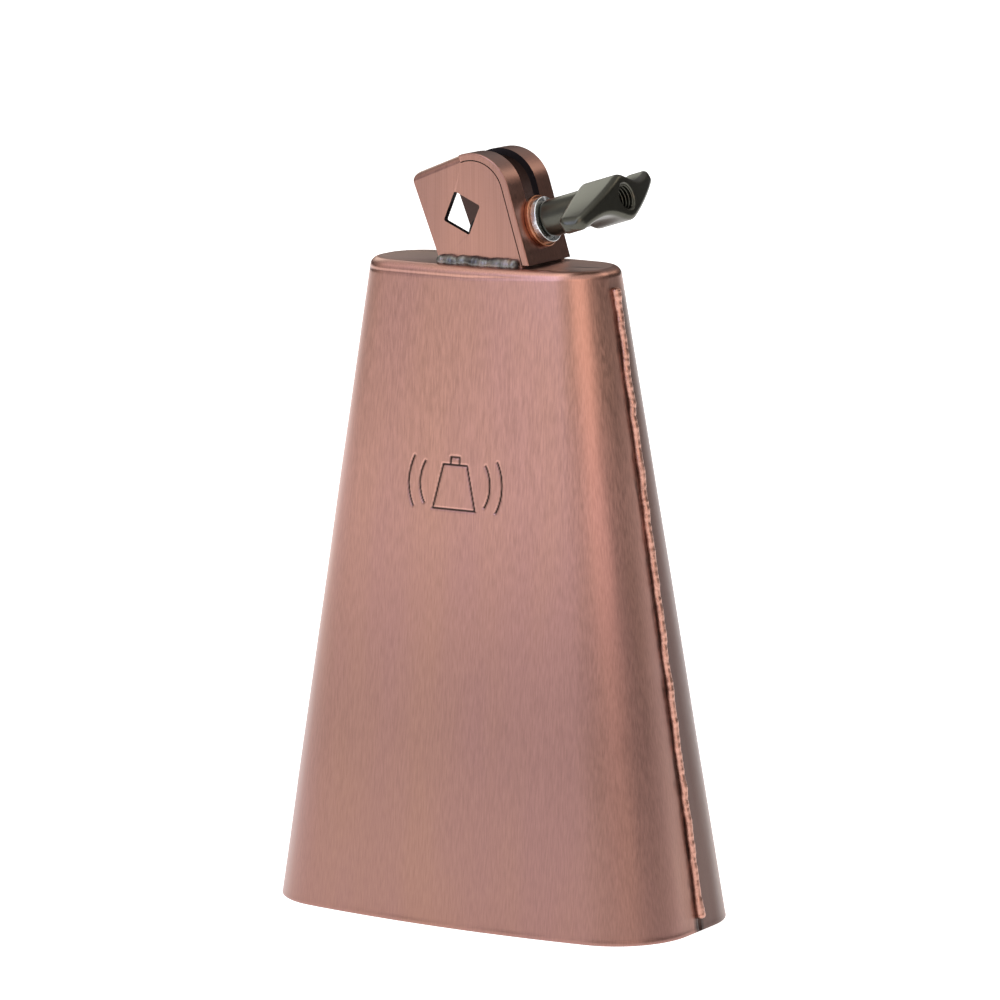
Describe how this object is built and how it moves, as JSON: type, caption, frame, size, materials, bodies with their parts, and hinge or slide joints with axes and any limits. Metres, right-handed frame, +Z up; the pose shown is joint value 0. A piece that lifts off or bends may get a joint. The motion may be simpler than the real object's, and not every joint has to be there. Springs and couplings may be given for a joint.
{
  "type": "timbale cowbell with rod clamp",
  "caption": "Tapered flat-sided steel cowbell with welded side seams, an open mouth, and a top bracket whose eyebolt and wing nut clamp it to a rod.",
  "frame": {"origin": "centre of the open mouth, on the plane of the rim", "axes": "+Z up to the closed top, +X to the wing nut's side, -Y to the struck front face"},
  "size_m": [0.1566, 0.077, 0.2525],
  "materials": {
    "copper_plated_sheet": "brushed antique copper plate under clear lacquer",
    "copper_plated_bracket": "brushed antique copper plate, dark in the corners",
    "plated_seam_bead": "rough copper plated weld bead with dark edges",
    "bare_weld": "heat-tinted grey weld",
    "blackened_steel": "black oxide",
    "copper_plated_washer": "bright copper plate",
    "zinc_plated_washer": "bright zinc plate",
    "black_wing_metal": "satin olive-black nickel on cast metal"
  },
  "bodies": {
    "bell": {"bell_shell": "copper_plated_sheet", "side_weld_right": "plated_seam_bead", "side_weld_left": "plated_seam_bead", "bracket": "copper_plated_bracket", "bracket_weld_front": "bare_weld", "bracket_weld_rear": "bare_weld"},
    "clamp": {"flat_washer": "copper_plated_washer", "lock_washer": "zinc_plated_washer"},
    "eyebolt": {"eyebolt": "blackened_steel"},
    "wing_nut": {"wing_nut": "black_wing_metal"}
  },
  "joints": [
    {"name": "clamp_slide", "type": "slide", "parent": "bell", "child": "clamp", "axis": [-0.2924, 0, 0.9563], "range_m": [0, 0.0091]},
    {"name": "wing_turn", "type": "hinge", "parent": "clamp", "child": "wing_nut", "pos_m": [0.01724, 0, 0.22974], "axis": [-0.9563, 0, -0.2924], "range_deg": [0, 2304]},
    {"name": "eyebolt_pull", "type": "slide", "parent": "clamp", "child": "eyebolt", "axis": [0.9563, 0, 0.2924], "range_m": [0, 0.00802]}
  ],
  "couplings": [
    {"joint": "eyebolt_pull", "follows": "wing_turn", "m_per_rad": 0.00019894}
  ]
}
